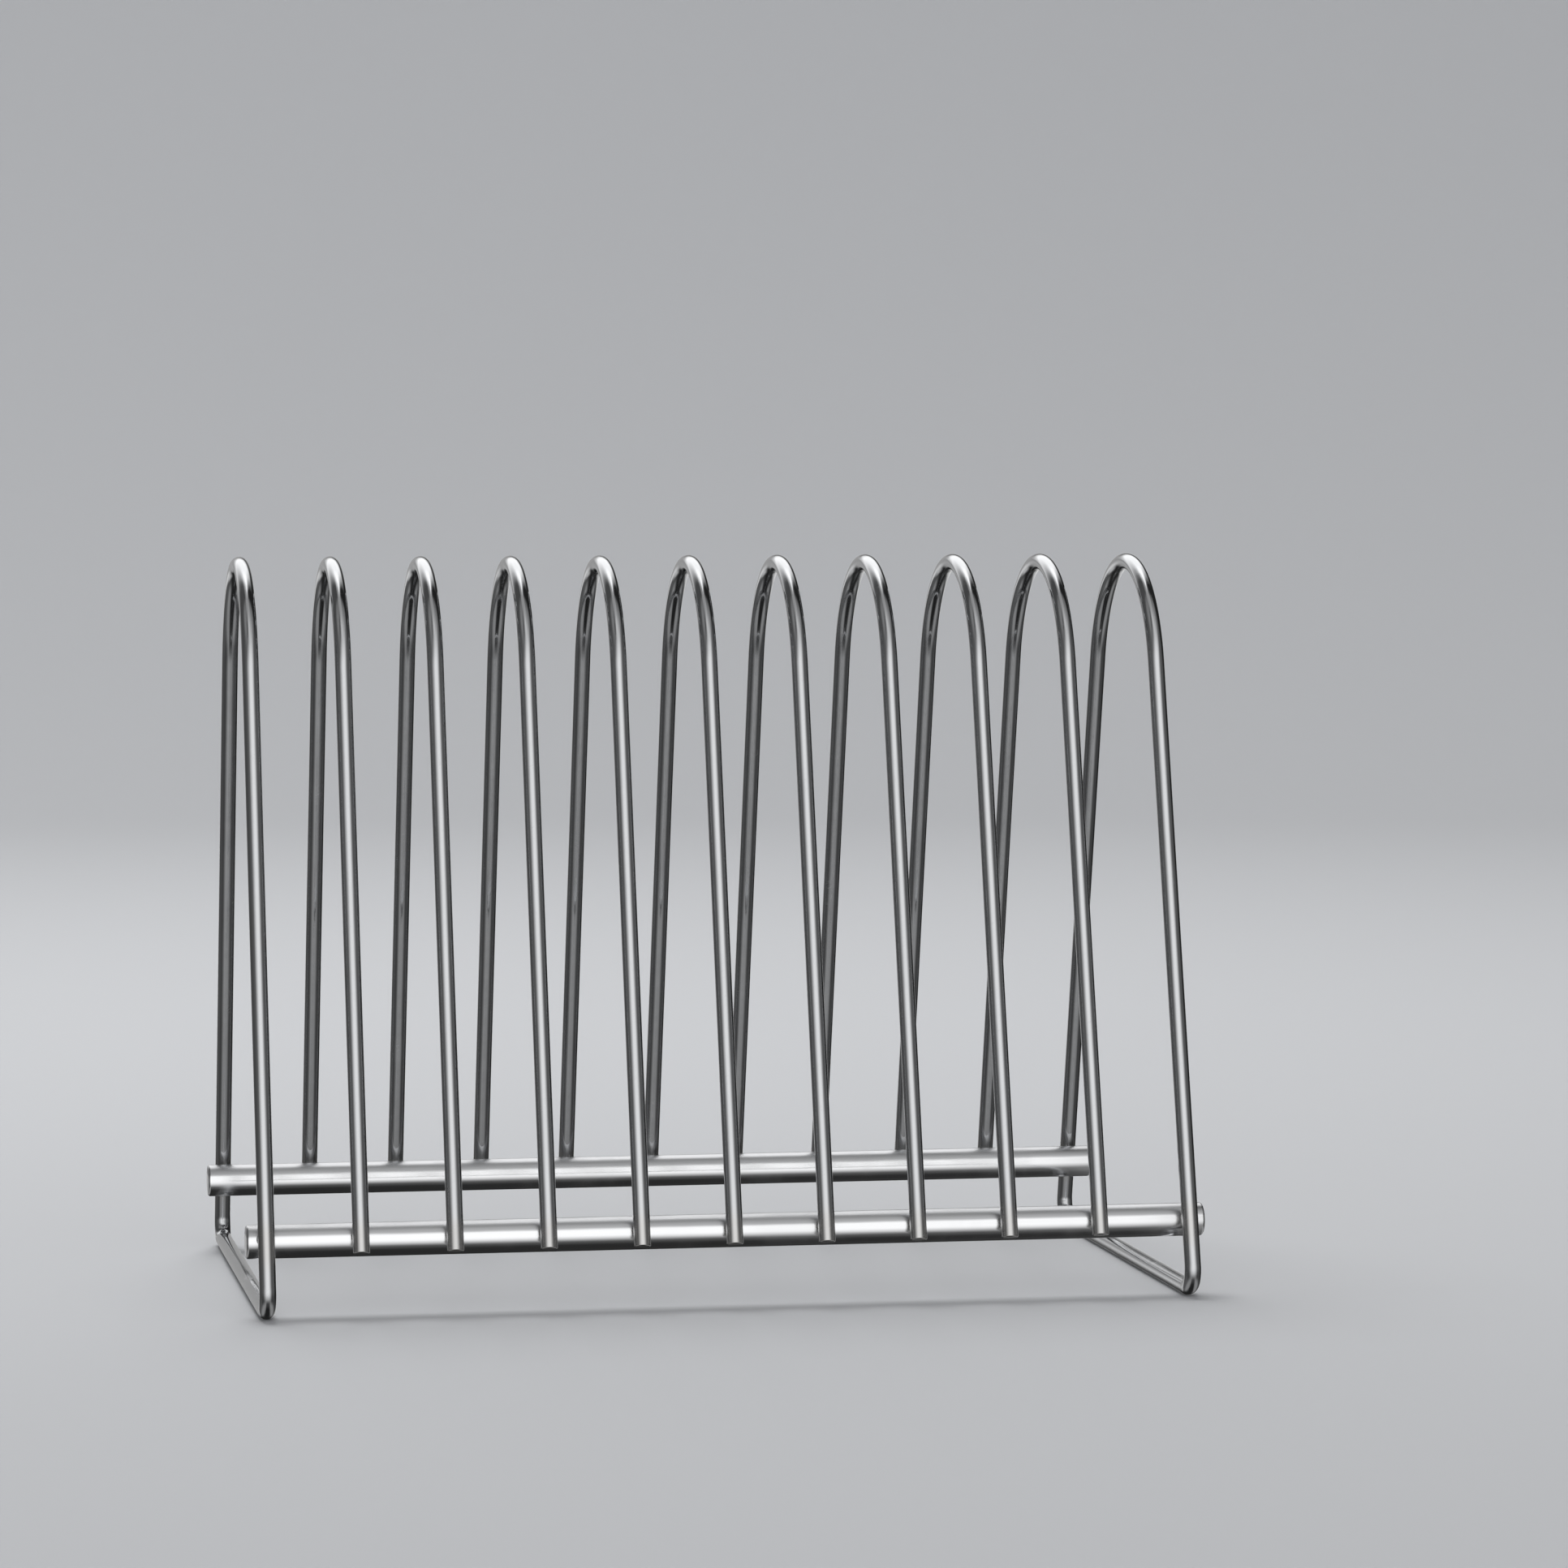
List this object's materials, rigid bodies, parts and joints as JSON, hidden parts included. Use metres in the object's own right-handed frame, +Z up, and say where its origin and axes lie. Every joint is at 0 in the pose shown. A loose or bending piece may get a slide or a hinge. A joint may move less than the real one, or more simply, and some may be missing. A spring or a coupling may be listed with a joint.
{
  "type": "record storage rack",
  "caption": "Chromed wire rack that stands on the floor or a shelf and holds 12-inch records upright between arched hoops, on two round rails.",
  "frame": {"origin": "on the floor under the middle of the rack", "axes": "+X along the rails towards the right end frame, +Y from the front rail to the rear rail, +Z up"},
  "size_m": [0.288, 0.18, 0.222],
  "materials": {
    "hoop_wire": "polished chrome on bent steel wire",
    "rail_bar": "polished chrome on straight round steel bar",
    "weld": "chrome over small resistance welds"
  },
  "bodies": {
    "root": {"end_frame_left": "hoop_wire", "end_frame_right": "hoop_wire", "divider_01": "hoop_wire", "divider_02": "hoop_wire", "divider_03": "hoop_wire", "divider_04": "hoop_wire", "divider_05": "hoop_wire", "divider_06": "hoop_wire", "divider_07": "hoop_wire", "divider_08": "hoop_wire", "divider_09": "hoop_wire", "front_rail": "rail_bar", "rear_rail": "rail_bar", "front_rail_welds": "weld", "rear_rail_welds": "weld"}
  },
  "joints": []
}
